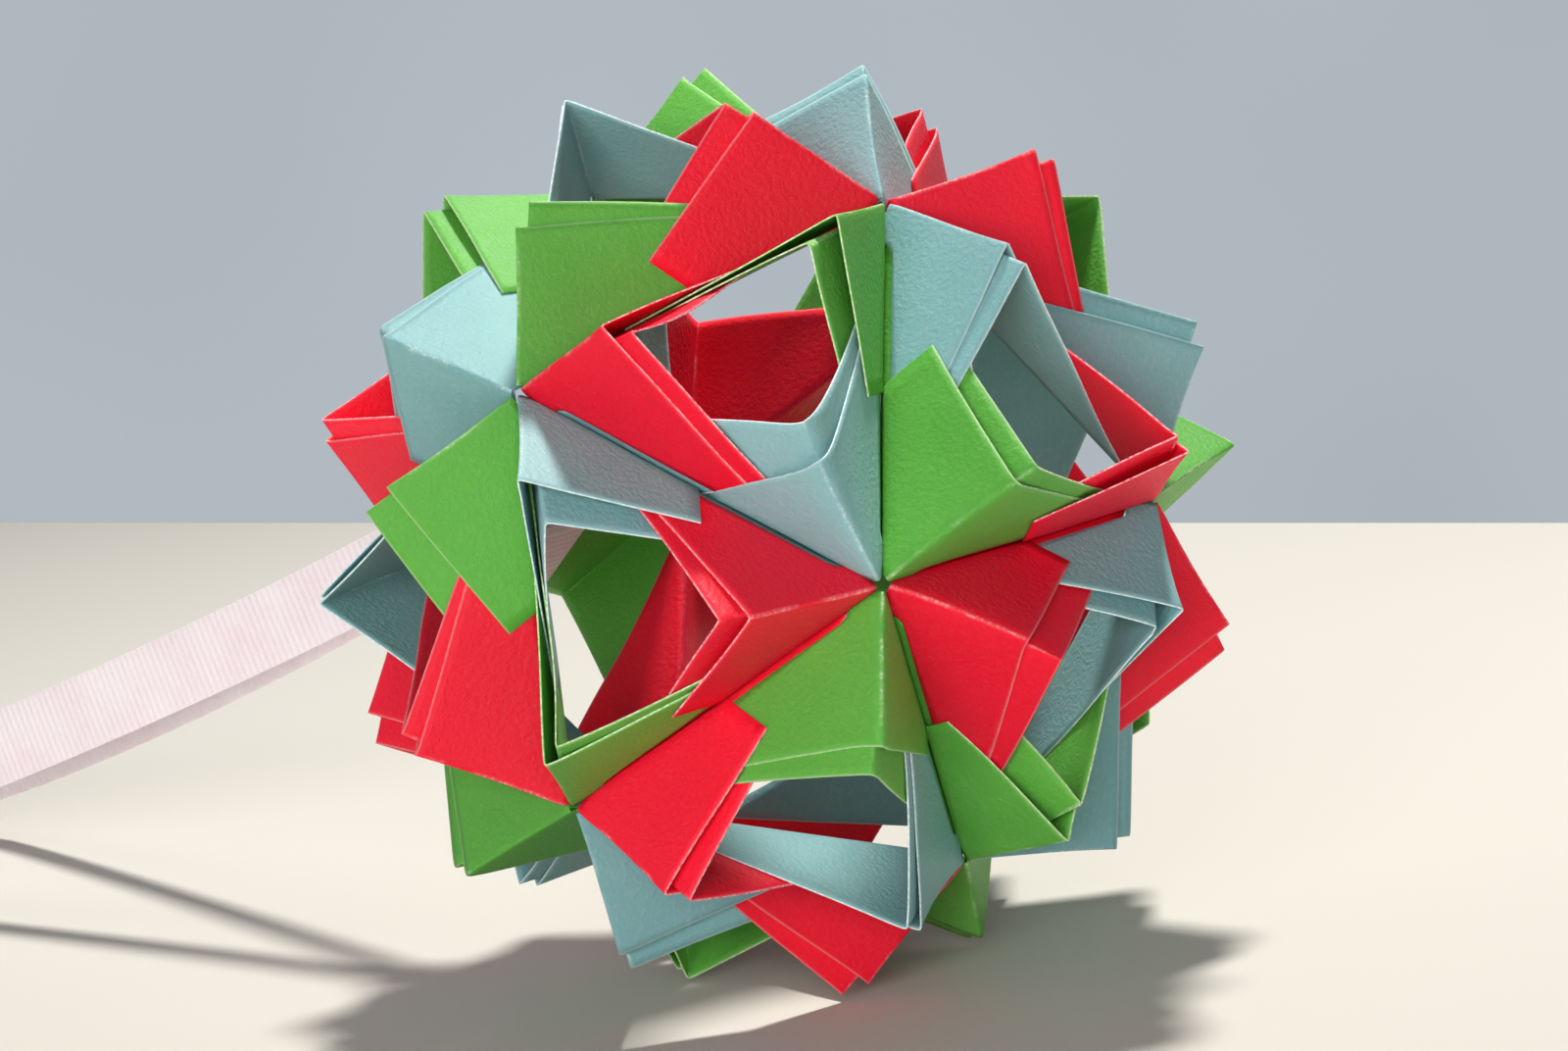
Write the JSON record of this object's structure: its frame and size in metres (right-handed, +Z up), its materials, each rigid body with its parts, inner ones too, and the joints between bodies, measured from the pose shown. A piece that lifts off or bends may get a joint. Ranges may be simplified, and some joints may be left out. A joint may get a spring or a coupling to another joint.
{
  "type": "kusudama paper ball",
  "caption": "Hollow decorative ball of interlocked folded paper units in red, green and pale blue, with star-like points, open triangular windows and a ribbon loop to hang it by",
  "frame": {"origin": "on the surface that the ball rests on, under the ball's centre", "axes": "+Z up; X along the valley fold of the lowest unit, with the hanging ribbon at -X"},
  "size_m": [0.2408, 0.1016, 0.1015],
  "materials": {
    "red_paper": "matte",
    "green_paper": "matte",
    "blue_paper": "matte",
    "ribbon": "ribbed weave"
  },
  "bodies": {
    "root": {"red_unit_01": "red_paper", "red_unit_02": "red_paper", "red_unit_03": "red_paper", "red_unit_04": "red_paper", "red_unit_05": "red_paper", "red_unit_06": "red_paper", "red_unit_07": "red_paper", "red_unit_08": "red_paper", "red_unit_09": "red_paper", "red_unit_10": "red_paper", "green_unit_01": "green_paper", "green_unit_02": "green_paper", "green_unit_03": "green_paper", "green_unit_04": "green_paper", "green_unit_05": "green_paper", "green_unit_06": "green_paper", "green_unit_07": "green_paper", "green_unit_08": "green_paper", "green_unit_09": "green_paper", "green_unit_10": "green_paper", "blue_unit_01": "blue_paper", "blue_unit_02": "blue_paper", "blue_unit_03": "blue_paper", "blue_unit_04": "blue_paper", "blue_unit_05": "blue_paper", "blue_unit_06": "blue_paper", "blue_unit_07": "blue_paper", "blue_unit_08": "blue_paper", "blue_unit_09": "blue_paper", "blue_unit_10": "blue_paper", "hanging_ribbon": "ribbon"}
  },
  "joints": []
}
